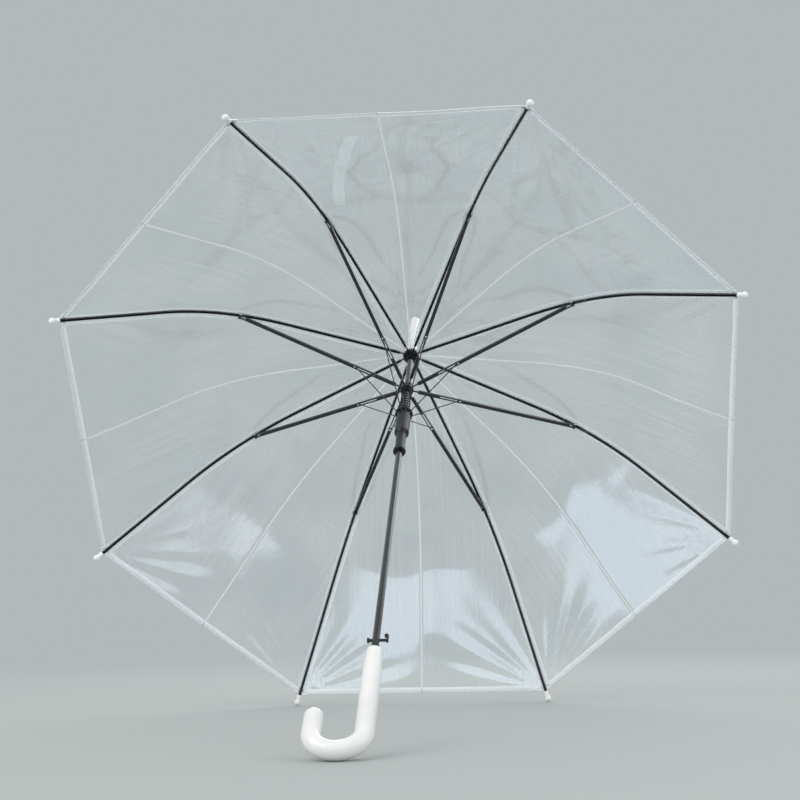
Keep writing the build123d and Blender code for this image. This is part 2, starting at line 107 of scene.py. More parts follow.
# %% The rib's two straights and its bend
RIB_RISE = math.radians(9.8)   # slope of the inner straight
RIB_INNER = 0.1819             # length of the inner straight
BEND_RADIUS = 0.312
RIB_BEND = math.radians(34.7)
CAP_RADIUS = 0.480             # shaft to the end of a cap
CAP_LENGTH = 0.015
bend_end = RIB_INNER + BEND_RADIUS * RIB_BEND


def rib_line(s):
    """Radius, depth and slope at lengths s along a rib."""
    s = np.asarray(s, float)
    turn = np.clip((s - RIB_INNER) / BEND_RADIUS, 0, RIB_BEND)
    slope = RIB_RISE + turn
    rest = np.maximum(s - bend_end, 0)
    start = np.minimum(s, RIB_INNER)
    r = hinge_radius + start * np.cos(RIB_RISE) + rest * np.cos(slope)
    z = start * np.sin(RIB_RISE) + rest * np.sin(slope)
    r = r + BEND_RADIUS * (np.sin(slope) - np.sin(RIB_RISE))
    z = z + BEND_RADIUS * (np.cos(RIB_RISE) - np.cos(slope))
    return r, z, slope


def half_width(s):
    """Distance from a rib to the middle of its panel, at lengths s along the rib."""
    return rib_line(s)[0] * math.sin(HALF_STEP)


cap_end = bend_end + (CAP_RADIUS - float(rib_line(bend_end)[0])) / math.cos(RIB_RISE + RIB_BEND)
rib_end = cap_end - CAP_LENGTH
print("rib length to the cap", round(rib_end, 4))


# %% [markdown]
# ## Helpers for the finishes
# Blender's shaders take linear colours, and people pick colours as sRGB hex codes, so one function
# turns one to the other. A second adds any node with its settings and links, and a third starts a
# material. Every finish below uses only these three.

# %% Colour, node and material helpers
def colour(hex_code):
    """Linear RGBA from an sRGB hex code."""
    parts = [int(hex_code[i:i + 2], 16) / 255 for i in (1, 3, 5)]
    return tuple(c / 12.92 if c <= 0.04045 else ((c + 0.055) / 1.055) ** 2.4 for c in parts) + (1.0,)


def node(tree, kind, settings=None, **inputs):
    """Add a node. An input is a value, a socket, or a node whose first output is taken.

    An input is given by its name, with _ for a space, or by its number as i0, i1 and so on.
    """
    made = tree.nodes.new(kind)
    for name, value in (settings or {}).items():
        setattr(made, name, value)
    for name, value in inputs.items():
        socket = made.inputs[int(name[1:]) if name[1:].isdigit() else name.replace("_", " ")]
        if isinstance(value, bpy.types.Node):
            value = value.outputs[0]
        if isinstance(value, bpy.types.NodeSocket):
            tree.links.new(value, socket)
        else:
            socket.default_value = value
    return made


def new_material(name):
    """A material with an empty node tree and its output node."""
    made = bpy.data.materials.new(name)
    made.use_nodes = True
    made.node_tree.nodes.clear()
    return made, made.node_tree, made.node_tree.nodes.new("ShaderNodeOutputMaterial")


MM = 0.001
print("white is", colour("#ffffff"))

# %% [markdown]
# ## Clear PVC film
# The canopy of a clear umbrella is calendered PVC: a soft sheet about 0.2 mm thick, squeezed between
# polished rolls. It passes nearly all light and mirrors a little of it, more at a grazing angle. It has
# a faint milky haze in slow clouds, and fine streaks along the way it was rolled, here from the crown to
# the hem. A glass shader would bend and darken what lies behind it, so it is mixed from a Transparent
# shader, a sharp Glossy one steered by how much the film faces away, and a little white milk.

# %% The film's recipe
FILM_IOR = 1.52                # plasticised PVC
MIRROR_SHARE = ((FILM_IOR - 1) / (FILM_IOR + 1)) ** 2
GRAZING_SHARE = 0.9
STREAKS_ALONG = 4.0            # a streak is about 250 mm long
CLOUDS_PER_METRE = 9.0         # a cloud of haze is about 110 mm across


def film_material(name, tint, haze_low, haze_high, streak_mm, edge_milk_and_highlight, gloss_gain=1.0):
    """Clear film: haze_low to haze_high is the share of milk, streak_mm the width of its streaks.

    The argument after streak_mm is the share of milk where the mesh's edge attribute is 1; on beads,
    folds and creases that milk is partly a painted highlight.
    """
    made, tree, out = new_material(name)
    uv = node(tree, "ShaderNodeUVMap", {"uv_map": "panel"})
    flat = node(tree, "ShaderNodeSeparateXYZ", None, Vector=uv)
    across = node(tree, "ShaderNodeMath", {"operation": "MULTIPLY"}, i0=flat.outputs[0],
                  i1=1 / (streak_mm * MM))
    along = node(tree, "ShaderNodeMath", {"operation": "MULTIPLY"}, i0=flat.outputs[1],
                 i1=STREAKS_ALONG)
    spot = node(tree, "ShaderNodeCombineXYZ", None, X=across, Y=along)
    streaks = node(tree, "ShaderNodeTexNoise", None, Vector=spot, Scale=1.0, Detail=3.0)
    position = node(tree, "ShaderNodeTexCoord").outputs["Object"]
    clouds = node(tree, "ShaderNodeTexNoise", None, Vector=position, Scale=CLOUDS_PER_METRE, Detail=3.0)
    veil = node(tree, "ShaderNodeMath", {"operation": "MULTIPLY"}, i0=streaks, i1=clouds)
    # The product of the two noises lies mostly between 0.16 and 0.42.
    haze = node(tree, "ShaderNodeMapRange", None, Value=veil, From_Min=0.16, From_Max=0.42,
                To_Min=haze_low, To_Max=haze_high)
    edge = node(tree, "ShaderNodeAttribute", {"attribute_name": "edge"}).outputs["Fac"]
    # Milk where the edge attribute is set; on beads, folds and creases it is a painted highlight.
    milk_and_highlight_at_edge = node(tree, "ShaderNodeMath", {"operation": "MULTIPLY"}, i0=edge, i1=edge_milk_and_highlight)
    haze = node(tree, "ShaderNodeMath", {"operation": "MAXIMUM"}, i0=haze, i1=milk_and_highlight_at_edge)
    bump = node(tree, "ShaderNodeBump", None, Strength=0.25, Distance=0.0004, Height=streaks)
    facing = node(tree, "ShaderNodeLayerWeight", None, Blend=0.5, Normal=bump).outputs["Facing"]
    grazing = node(tree, "ShaderNodeMath", {"operation": "POWER"}, i0=facing, i1=5.0)
    mirrored = node(tree, "ShaderNodeMapRange", None, Value=grazing, From_Min=0.0, From_Max=1.0,
                    To_Min=MIRROR_SHARE * gloss_gain, To_Max=GRAZING_SHARE)
    clear = node(tree, "ShaderNodeBsdfTransparent", None, Color=colour(tint))
    gloss = node(tree, "ShaderNodeBsdfAnisotropic", None, Color=colour("#f7fbff"), Roughness=0.07,
                 Normal=bump)
    shine = node(tree, "ShaderNodeMixShader", None, i0=mirrored, i1=clear, i2=gloss)
    skin = node(tree, "ShaderNodeBsdfPrincipled", None, Base_Color=colour("#fbfdff"), Roughness=0.3,
                IOR=FILM_IOR)
    through = node(tree, "ShaderNodeBsdfTranslucent", None, Color=colour("#ffffff"))
    milk = node(tree, "ShaderNodeMixShader", None, i0=0.5, i1=skin, i2=through)
    mixed = node(tree, "ShaderNodeMixShader", None, i0=haze, i1=shine, i2=milk)
    tree.links.new(mixed.outputs[0], out.inputs["Surface"])
    return made


print("share mirrored face on", round(MIRROR_SHARE, 4))

# %% [markdown]
# Three films come from the one recipe. The panels are plain calendered film. Where two films are welded
# by high frequency, the heat leaves the double layer whiter; its squeezed-out bead and the hem's fold are
# painted whiter still, as painted highlights. The strap and the guards are matt-rolled film, which
# scatters most of its light and so looks frosted.

# %% Clear, welded and frosted film
# Real streaks are under a millimetre apart; they are drawn 1 to 2.5 mm apart, coarse enough to show.
clear_film = film_material("calendered_clear_pvc", "#fdfefe", 0.01, 0.14, 2.5, 0.9, 1.6)
welded_film = film_material("welded_double_pvc", "#fafcfd", 0.34, 0.60, 1.5, 1.0, 1.3)
frosted_film = film_material("frosted_pvc_tape", "#f6f9fa", 0.60, 0.85, 1.0, 1.0, 1.3)
print("films:", clear_film.name, welded_film.name, frosted_film.name)

# %% [markdown]
# ## Stove-enamelled steel
# Ribs and stretchers are roll-formed strip steel, dipped in black enamel and stoved. The enamel gives
# the eye a deep black with a soft satin glint, a fine orange-peel skin, and slightly greyer, duller
# stretches where it is thin or rubbed. The shaft is a drawn tube with a glossier coat. The push wires
# and springs are hard-drawn wire, only blackened, so they are a little greyer and duller. All of them
# are a dark base under a thin clear coat, so one recipe serves.

# %% Enamel and blackened wire
def enamel_material(name, base, roughness, peel_mm, coat):
    """Black enamel over drawn steel; peel_mm is the spacing of the orange-peel bumps."""
    made, tree, out = new_material(name)
    position = node(tree, "ShaderNodeTexCoord").outputs["Object"]
    peel = node(tree, "ShaderNodeTexNoise", None, Vector=position, Scale=1 / (peel_mm * MM), Detail=2.0)
    # Rubbed stretches are about 30 mm long.
    wear = node(tree, "ShaderNodeTexNoise", None, Vector=position, Scale=35.0, Detail=5.0, Roughness=0.7)
    rubbed = node(tree, "ShaderNodeMapRange", None, Value=wear, From_Min=0.45, From_Max=0.75)
    tone = node(tree, "ShaderNodeMix", {"data_type": "RGBA"}, i0=rubbed, i6=colour(base),
                i7=colour("#1c1d1f")).outputs[2]
    rough = node(tree, "ShaderNodeMapRange", None, Value=wear, From_Min=0.3, From_Max=0.7,
                 To_Min=roughness - 0.06, To_Max=roughness + 0.10)
    bump = node(tree, "ShaderNodeBump", None, Strength=0.15, Distance=0.0001, Height=peel)
    steel = node(tree, "ShaderNodeBsdfPrincipled", None, Base_Color=tone, Roughness=rough, IOR=1.5,
                 Coat_Weight=coat, Coat_Roughness=0.12, Normal=bump)
    tree.links.new(steel.outputs[0], out.inputs["Surface"])
    return made


rib_enamel = enamel_material("black_stove_enamel", "#090a0b", 0.34, 0.6, 0.30)
tube_enamel = enamel_material("black_gloss_enamel", "#08090b", 0.20, 0.9, 0.9)
spring_steel = enamel_material("blackened_spring_steel", "#17181a", 0.38, 0.4, 0.2)
print("enamels:", rib_enamel.name, tube_enamel.name, spring_steel.name)


# %% [markdown]
# ## Nickel-plated rivets
# The rivets are mild steel, barrel-plated with nickel after heading. Nickel is slightly warm beside
# chrome, and tumbling leaves fine random marks of about a millimetre, so the heads glint as bright
# dots against the black ribs. It is a full metal, so it keeps the shader's own IOR.

# %% Nickel plate
def nickel_material():
    """Barrel-plated nickel with tumbling marks."""
    made, tree, out = new_material("nickel_plated_steel")
    position = node(tree, "ShaderNodeTexCoord").outputs["Object"]
    marks = node(tree, "ShaderNodeTexNoise", None, Vector=position, Scale=900.0, Detail=3.0)
    rough = node(tree, "ShaderNodeMapRange", None, Value=marks, From_Min=0.3, From_Max=0.7,
                 To_Min=0.16, To_Max=0.34)
    metal = node(tree, "ShaderNodeBsdfPrincipled", None, Base_Color=colour("#c9c6c0"), Metallic=1.0,
                 Roughness=rough)
    tree.links.new(metal.outputs[0], out.inputs["Surface"])
    return made


nickel = nickel_material()
print("metal:", nickel.name)


# %% [markdown]
# ## Moulded plastics
# The crook and the ferrule are injection-moulded ABS from a polished mould: gloss white, with soft flow
# marks a few centimetres long. The caps, the corner tabs and the washer are white nylon, duller and a
# little see-through, so light bleeds into their edges. The crown, the runner and the slider are black
# nylon from a spark-eroded mould, whose fine grain takes the shine off. All are one recipe with other
# numbers: flow marks in tone and gloss, mould grain in the bump, and some scattering under the skin.

# %% Moulded ABS and nylon
def plastic_material(name, base, shade, roughness, grain_mm, glow, coat=0.0):
    """Injection-moulded plastic; shade is its colour in flow marks, glow the light it scatters."""
    made, tree, out = new_material(name)
    position = node(tree, "ShaderNodeTexCoord").outputs["Object"]
    grain = node(tree, "ShaderNodeTexNoise", None, Vector=position, Scale=1 / (grain_mm * MM), Detail=2.0)
    # Flow marks are about 55 mm long.
    flow = node(tree, "ShaderNodeTexNoise", None, Vector=position, Scale=18.0, Detail=4.0)
    marked = node(tree, "ShaderNodeMapRange", None, Value=flow, From_Min=0.35, From_Max=0.7)
    tone = node(tree, "ShaderNodeMix", {"data_type": "RGBA"}, i0=marked, i6=colour(base),
                i7=colour(shade)).outputs[2]
    rough = node(tree, "ShaderNodeMapRange", None, Value=flow, From_Min=0.3, From_Max=0.7,
                 To_Min=roughness - 0.05, To_Max=roughness + 0.06)
    bump = node(tree, "ShaderNodeBump", None, Strength=0.10, Distance=0.0001, Height=grain)
    body = node(tree, "ShaderNodeBsdfPrincipled", None, Base_Color=tone, Roughness=rough, IOR=1.49,
                Subsurface_Weight=glow, Subsurface_Radius=(1.0, 0.9, 0.8), Subsurface_Scale=0.002,
                Coat_Weight=coat, Coat_Roughness=0.08, Normal=bump)
    tree.links.new(body.outputs[0], out.inputs["Surface"])
    return made


# Real mould grain is about 0.1 mm; it is drawn 0.5 to 1.2 mm wide, coarse enough to show.
white_abs = plastic_material("white_gloss_abs", "#e3e3e1", "#d8d9d9", 0.20, 1.2, 0.15, 0.4)
white_nylon = plastic_material("white_moulded_nylon", "#ebebe9", "#dededd", 0.34, 0.8, 0.25)
black_nylon = plastic_material("black_moulded_nylon", "#0b0c0d", "#131416", 0.34, 0.5, 0.0)
print("plastics:", white_abs.name, white_nylon.name, black_nylon.name)

# %% [markdown]
# ## Finishes on the CAD pieces
# The CAD pieces keep their shape. Each gets its finish by how its name begins, and the longest match
# wins, so that rib_cap isn't taken for rib. A table is easier to read and to change than a line for
# each of some forty pieces. Film halves and the strap are left out, because meshes will replace them.

# %% Dress the CAD pieces
finishes = {
    "rib_cap": white_nylon, "rib": rib_enamel, "stretcher": rib_enamel, "push_wire": spring_steel,
    "shaft": tube_enamel, "crown_washer": white_nylon, "crown": black_nylon, "ferrule": white_abs,
    "handle": white_abs, "release_catch": spring_steel, "catch_spring": spring_steel,
    "runner": black_nylon, "opening_spring": spring_steel, "lower_slider": black_nylon,
}
dressed = 0
for name, piece in frame["nodes"].items():
    keys = [key for key in finishes if name.startswith(key)]
    if keys:
        piece.data.materials.clear()
        piece.data.materials.append(finishes[max(keys, key=len)])
        dressed += 1
print("dressed", dressed, "CAD pieces")

# %% [markdown]
# ## The shape of a panel
# Each of the eight panels is a piece of film between two ribs, creased down its middle from being
# folded. It hangs in a little between the ribs and shows fine pull wrinkles at the crown and at the
# corners. A cloth simulation would need a very fine mesh to find such shallow wrinkles, so the shape is
# written down: a flat span from rib to rib, less a sag, plus the wrinkles. A point of a panel is given
# by s, its length along the rib, and v, which runs from -1 on one rib through 0 on the crease to 1 on
# the next rib.

# %% Wrinkles
FILM_GAP = 0.0023              # rib centre line to the film
FILM_HOLE = 0.0078             # radius of the hole for the shaft
FILM_SAG = 0.0075              # how far a panel's middle hangs in
film_start = (FILM_HOLE - hinge_radius) / math.cos(RIB_RISE)
film_end = rib_end - 0.0008


def wrinkles(s, v, share, panel):
    """Height of the film's wrinkles: pleats at the crown, pulls at both corners, a slow unevenness.

    All are about a millimetre high, and edge takes them to nothing on the ribs.
    """
    edge = 1 - v * v
    near_crown = np.exp(-((s / 0.09) ** 2)) * np.clip(s / 0.02, 0, 1)
    pleats = 0.0007 * near_crown * np.sin(v * 19 + panel * 1.7) * edge
    slow = 0.0011 * np.sin(7 * share + 2.1 * panel) * np.sin(3.2 * v + panel) * edge * share
    slow += 0.0008 * np.sin(15 * share + panel) * np.sin(6.1 * v - panel) * edge * share
    pulls = 0.0
    for side in (-1, 1):
        away = np.hypot((1 - side * v) * 0.18 * share, film_end - s) + 1e-6
        angle = np.arctan2((1 - side * v) * 0.18 * share, film_end - s + 1e-6)
        fade = np.exp(-((away / 0.11) ** 2)) * np.clip(away / 0.02, 0, 1)
        pulls = pulls + 0.0010 * fade * np.sin(angle * 17 + panel + side) * np.sqrt(np.abs(edge))
    crease = 0.0006 * np.exp(-((v * share * 180) ** 2) / 2.0)
    return pleats + slow + pulls + crease


print("film from", round(film_start, 4), "to", round(film_end, 4), "along the rib")


# %% A point on the film
def film_point(s, v, turn, panel, lift=0.0):
    """Point on the film of the panel whose middle line is at turn; lift is outward from it."""
    r, z, slope = rib_line(s)
    s, v = np.broadcast_arrays(np.asarray(s, float), np.asarray(v, float))
    share = np.clip(s / film_end, 0, 1)
    out_by = FILM_GAP + lift
    r = r + out_by * np.sin(slope)
    z = z - out_by * np.cos(slope)
    hang = (1 - v * v) * FILM_SAG * np.sin(np.pi * share) ** 0.9
    depth = wrinkles(s, v, share, panel) - hang
    sideways = r * math.sin(HALF_STEP) * v
    own_r = r * math.cos(HALF_STEP) + depth * np.sin(slope)
    own_z = z - depth * np.cos(slope)
    c, d = math.cos(turn), math.sin(turn)
    own = np.stack([own_r * c - sideways * d, own_r * d + sideways * c, own_z], axis=-1)
    return np.array(crown) + own @ axes


print("middle of a panel's hem", film_point(film_end, 0.0, rib_turns[0] + HALF_STEP, 1).round(3))


# %% [markdown]
# ## From points to a mesh
# A grid of points becomes a mesh with a face between every four of them. Its "panel" UV map holds
# metres across and along the panel, for the streaks, and an "edge" attribute marks where the film
# turns milky, painted highlights included. A Solidify modifier gives the sheet its thickness, which
# keeps the mesh itself simple.

# %% Grid meshes
def grid_mesh(name, points, uv, edge, material, thickness, offset=-1.0):
    """Mesh from rows of points, given a thickness by a Solidify modifier."""
    rows, columns = points.shape[:2]
    index = np.arange(rows * columns).reshape(rows, columns)
    quads = np.stack([index[:-1, :-1], index[1:, :-1], index[1:, 1:], index[:-1, 1:]], -1)
    mesh = bpy.data.meshes.new(name)
    mesh.from_pydata(points.reshape(-1, 3).tolist(), [], quads.reshape(-1, 4).tolist())
    layer = mesh.uv_layers.new(name="panel")
    corners = np.empty(len(mesh.loops), np.int32)
    mesh.loops.foreach_get("vertex_index", corners)
    layer.data.foreach_set("uv", uv.reshape(-1, 2)[corners].astype(np.float32).ravel())
    mark = mesh.attributes.new("edge", "FLOAT", "POINT")
    mark.data.foreach_set("value", edge.astype(np.float32).ravel())
    mesh.materials.append(material)
    mesh.polygons.foreach_set("use_smooth", [True] * len(mesh.polygons))
    made = bpy.data.objects.new(name, mesh)
    bpy.context.scene.collection.objects.link(made)
    solid = made.modifiers.new("thickness", "SOLIDIFY")
    solid.thickness = thickness
    solid.offset = offset
    return made


# %% [markdown]
# ## Bending with the frame
# When the umbrella closes, each rib swings down and each half panel turns about it, so that the crease
# moves outward and the panel doubles. A half panel therefore bends between its rib's body and its film
# body. The share of the turn that a point takes goes by its angle round the shaft, from 0 on the rib to
# 1 on the crease, because a straight-line share would pinch the film near the crown.

# %% Half panels and their bending
def share_bend(piece, k, side, weights):
    """Let the piece bend from its rib to its half panel, by the share given for each point."""
    turn = rib_turns[k - 1] + (HALF_STEP if side == "after" else -HALF_STEP)
    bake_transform(piece, f"rib_{k}", f"film_{k}_{side}", start=tuple(place(0.2, rib_turns[k - 1], 0.0)),
             end=tuple(place(0.2, turn, 0.0)))
    stored = piece.data.attributes["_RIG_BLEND"]
    stored.data.foreach_set("value", weights.astype(np.float32).ravel())


def bend_weights(v):
    """Share of the turn from the rib, 0, to the crease, 1, for points at v."""
    return 1 - np.arctan(np.abs(v) * math.tan(HALF_STEP)) / HALF_STEP


def halves():
    """Every half panel: its rib's number, its side, the panel's middle turn and its own number."""
    for k in range(1, RIBS + 1):
        yield k, "after", rib_turns[k - 1] + HALF_STEP, k
        yield k, "before", rib_turns[k - 1] - HALF_STEP, (k - 2) % RIBS + 1


print("half panels to make", len(list(halves())))

# %% [markdown]
# ## The half panels
# Sixteen half panels are cut from clear film. They are made as halves, not as eight whole panels,
# because a crease has to fold sharply when the umbrella closes. The grid's columns crowd together
# beside the rib and beside the crease, where the film turns, and the crease itself is a thin milky line:
# the whitening of film that has been folded many times, with a painted highlight along the fold.

# %% Build the half panels
FILM_THICK = 0.0002
CREASE_WIDTH = 0.0009
# The crease's milk is the whitening of a worn fold and a painted highlight along it.
CREASE_MILK_AND_HIGHLIGHT = 0.85


def half_range(side):
    """Values of v from the rib to the crease, close together beside both."""
    near_rib = np.array([1.0, 0.985, 0.965, 0.94])
    near_crease = np.array([0.05, 0.035, 0.022, 0.012, 0.006, 0.003, 0.0])
    steps = np.concatenate([near_rib, np.linspace(0.91, 0.07, 32), near_crease])
    return -steps if side == "after" else steps


film_along = np.concatenate([np.linspace(film_start, 0.03, 10), np.linspace(0.036, film_end, 90)])
film_pieces = {}
for k, side, middle, panel in halves():
    s_grid, v_grid = np.meshgrid(film_along, half_range(side), indexing="ij")
    across = v_grid * half_width(s_grid)
    uv = np.stack([across + panel * 0.7, s_grid], -1)
    crease = CREASE_MILK_AND_HIGHLIGHT * np.exp(-((across / CREASE_WIDTH) ** 2))
    piece = grid_mesh(f"canopy_{k}_{side}", film_point(s_grid, v_grid, middle, panel), uv, crease,
                      clear_film, FILM_THICK)
    share_bend(piece, k, side, bend_weights(v_grid))
    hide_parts(f"film_{k}_{side}")
    film_pieces[k, side] = piece
print("half panels", len(film_pieces))

# %% [markdown]
# ## Strips on the film
# Seams, hems, tabs, guards and the strap all lie on the film and must follow its sag and its wrinkles.
# So each is a narrow grid on the same shape as its half panel, lifted a little inward or outward from
# it, and it bends with the same weights. One function makes them all.

# %% Strips that follow a half panel
UNDER_FILM = -0.00045          # the inside face, clear of the film
WELD_THICK = 0.0003
strips = {key: [] for key in film_pieces}


def strip(name, k, side, middle, panel, s_grid, across, lift, edge, material, thickness):
    """A strip on a half panel; across is the distance in metres from its rib, lift outward."""
    v_grid = np.clip(1 - across / half_width(s_grid), 0, 1) * (-1 if side == "after" else 1)
    points = film_point(s_grid, v_grid, middle, panel, lift)
    uv = np.stack([across + panel * 0.7, s_grid], -1)
    piece = grid_mesh(name, points, uv, edge, material, thickness)
    share_bend(piece, k, side, bend_weights(v_grid))
    return piece


print("strips lie", round(-UNDER_FILM / MM, 2), "mm inside the film")

# %% [markdown]
# ## Welded seams
# Two panels are welded to each other along each rib. The weld leaves a double band of film on the
# inside, wider on one side of the rib than on the other, because the welding bar isn't centred. Each
# band ends in a rounded bead where the bar squeezed the soft film out. The bead is painted fully milky,
# a painted highlight that stands in for the light it catches, and that draws a white line along both
# sides of every rib. Near the crown the panel is narrower than two bands, so they taper there.

# %% Weld the panels along the ribs
SEAM_WIDTHS = {"after": 0.0085, "before": 0.0056}
BEAD = 0.0013
BEAD_HEIGHT = 0.0006
SEAM_SHARE = 0.42              # of the half panel, at most
bead_steps = np.array([-1.3, -1.16, -1.0, -0.75, -0.5, -0.25, 0.0]) * BEAD
seam_along = np.linspace(0.016, film_end - 0.002, 110)
for k, side, middle, panel in halves():
    width = SEAM_WIDTHS[side]
    seam_across = np.concatenate([[0.0002, 0.0014, 0.0026, width - 0.0021], width + bead_steps])
    s_grid, y_grid = np.meshgrid(seam_along, seam_across, indexing="ij")
    narrowing = np.minimum(1.0, SEAM_SHARE * half_width(s_grid) / width)
    # Full milk on the bead is a painted highlight over the whiter weld.
    milk_and_highlight = np.clip((y_grid - (width - 1.15 * BEAD)) / (0.15 * BEAD), 0, 1)
    crown_of_bead = ((width - 0.5 * BEAD - y_grid) / (0.55 * BEAD)) ** 2
    lift = UNDER_FILM - BEAD_HEIGHT * np.sqrt(np.clip(1 - crown_of_bead, 0, 1))
    piece = strip(f"seam_{k}_{side}", k, side, middle, panel, s_grid, y_grid * narrowing, lift,
                  milk_and_highlight, welded_film, WELD_THICK)
    strips[k, side].append(piece)
print("seam strips", sum(len(v) for v in strips.values()))

# %% [markdown]
# ## Turned hems
# The film's outer edge is turned in over itself and welded, about 8.5 mm wide. A hem therefore shows two
# white lines: the fold, where the film is rounded, and the bead of the weld, both painted fully milky as
# painted highlights. It is one strip whose rows go round the fold and back along the inside, so that the
# fold is real geometry.

# %% Turn the hems in
# Each row: how far past the film's edge, the lift outward, and how milky it is there; full milk on the
# fold and the bead is a painted highlight.
hem_rows = np.array([
    (-0.0014, 0.0004, 1.0),
    (0.0, 0.0006, 1.0),
    (0.0006, 0.0002, 1.0),
    (0.0004, -0.0003, 0.9),
    (-0.0010, -0.00045, 0.15),
    (-0.0034, -0.00045, 0.1),
    (-0.0058, -0.0006, 1.0),
    (-0.0066, -0.0007, 1.0),
    (-0.0074, -0.0006, 1.0),
    (-0.0080, -0.0004, 1.0),
])
hem_across = np.linspace(0.003, float(half_width(film_end)), 60)
for k, side, middle, panel in halves():
    step_grid, y_grid = np.meshgrid(hem_rows[:, 0], hem_across, indexing="ij")
    s_grid = film_end + step_grid
    lift = np.broadcast_to(hem_rows[:, 1, None], s_grid.shape)
    milk_and_highlight = np.broadcast_to(hem_rows[:, 2, None], s_grid.shape)
    piece = strip(f"hem_{k}_{side}", k, side, middle, panel, s_grid, y_grid, lift, milk_and_highlight,
                  welded_film, WELD_THICK)
    strips[k, side].append(piece)
print("hems", len(film_pieces), "of width", round(float(np.ptp(hem_rows[:, 0])) / MM, 1), "mm")

# %% [markdown]
# ## Corner tabs
# At each corner the film is clamped in a small white nylon tab, which the cap's collar meets. The tab is
# widest at the hem and runs up the seam in a curve, so that it pulls evenly. Its outline is a power
# curve, which is easier to match than a drawn arc.

# %% Clamp the corners
TAB_LENGTH = 0.011
TAB_ROOT = 0.0025              # half width at its narrow end
TAB_THICK = 0.0016
for k, side, middle, panel in halves():
    t_grid, u_grid = np.meshgrid(np.linspace(0, 1, 14), np.linspace(0, 1, 10), indexing="ij")
    reach = TAB_ROOT + (TAB_LENGTH - TAB_ROOT) * t_grid ** 1.6
    s_grid = film_end + 0.0006 - TAB_LENGTH * (1 - t_grid)
    tab = strip(f"corner_tab_{k}_{side}", k, side, middle, panel, s_grid, u_grid * reach, 0.0,
                u_grid * 0, white_nylon, TAB_THICK)
    tab.modifiers["thickness"].offset = 0.0
    strips[k, side].append(tab)
print("corner tabs", len(film_pieces))

# %% [markdown]
# ## Joint guards
# Beside each joint of rib and stretcher an oval guard of frosted film is welded inside the canopy, so
# that the rivet doesn't rub through it. Each guard is made as two half ovals, one on either side of the
# rib, because the film folds there. Its place comes from the joint itself: the length along the rib at
# which the line, dropped by the joint's offset, is as far from the shaft as the joint.

# %% Guard the joints
GUARD_HALF_LENGTH = 0.020
GUARD_HALF_WIDTH = 0.0075
JOINT_DROP = 0.0032            # rib centre line to the joint


def joint_length():
    """Length along the rib of its joint with the stretcher."""
    spot = Vector(joints["stretcher_1_joint"]["pos_m"]) - crown
    radius = math.hypot(spot.dot(side_way), spot.dot(rise_way))
    tries = np.linspace(0, film_end, 4000)
    r, _, slope = rib_line(tries)
    return float(tries[np.argmin(np.abs(r - JOINT_DROP * np.sin(slope) - radius))])


joint_s = joint_length()
for k, side, middle, panel in halves():
    ring_grid, turn_grid = np.meshgrid(np.linspace(0.02, 1, 8), np.linspace(0, math.pi, 26),
                                       indexing="ij")
    s_grid = joint_s + GUARD_HALF_LENGTH * ring_grid * np.cos(turn_grid)
    y_grid = GUARD_HALF_WIDTH * ring_grid * np.sin(turn_grid) + 0.0001
    lift = UNDER_FILM - 0.0003 - 0.0003 * ring_grid ** 6
    guard = strip(f"joint_guard_{k}_{side}", k, side, middle, panel, s_grid, y_grid, lift,
                  ring_grid ** 4, frosted_film, WELD_THICK)
    strips[k, side].append(guard)
print("joint at", round(joint_s, 4), "along the rib")

# %% [markdown]
# ## Tie strap
# A strap of frosted tape is welded to the outside of one panel and goes round the closed umbrella. It
# lies slanted across the panel. The half nearer the crown is doubled, and a small hook-and-loop patch
# at its end is whiter still. It is one more strip, with its own outward lift and a wave of loose tape.

# %% Lay the tie strap
STRAP_WIDTH = 0.014
STRAP_RUN = 0.193              # how far it runs along the rib
STRAP_HEM_GAP = 0.059
STRAP_OUTER_SIDE, STRAP_INNER_SIDE = 0.77, 0.30    # from the rib, in shares of the half panel
DOUBLED_SHARE = 0.55
PATCH_SHARE = 0.075
strap_key = (3, "before")
strap_outer = film_end - STRAP_HEM_GAP
strap_inner = strap_outer - STRAP_RUN
strap_drift = STRAP_OUTER_SIDE * half_width(strap_outer) - STRAP_INNER_SIDE * half_width(strap_inner)
strap_length = math.hypot(STRAP_RUN, strap_drift)
t_grid, q_grid = np.meshgrid(np.linspace(0, 1, 80), np.linspace(-0.5, 0.5, 14), indexing="ij")
s_grid = strap_inner + STRAP_RUN * t_grid
side_share = STRAP_INNER_SIDE + (STRAP_OUTER_SIDE - STRAP_INNER_SIDE) * t_grid
across = side_share * half_width(s_grid) + q_grid * STRAP_WIDTH * strap_length / STRAP_RUN
doubled = np.clip((DOUBLED_SHARE - t_grid) / 0.004, 0, 1)
patch = np.clip((PATCH_SHARE - t_grid) / 0.004, 0, 1)
border = np.exp(-(((0.5 - np.abs(q_grid)) / 0.05) ** 2)) * 0.7
lift = 0.0007 + 0.0004 * np.sin(t_grid * 9) ** 2 + 0.0004 * patch + 0.0002 * doubled
strap = strip("tie_strap_tape", *strap_key, rib_turns[strap_key[0] - 1] - HALF_STEP,
              (strap_key[0] - 2) % RIBS + 1, s_grid, across, lift,
              np.maximum.reduce([patch, border, doubled * 0.9]), frosted_film, 0.0005)
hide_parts("tie_strap")
print("tie strap", STRAP_WIDTH, "by", round(strap_length, 3))

# %% [markdown]
# ## Rivet domes
# Each stretcher is riveted to its rib. The shank is inside, so only the two domed heads show. A turned
# profile, lathed round the joint's own axis, gives a true dome with a short straight rim, and it rides
# on the stretcher, because the rivet is fast in it.

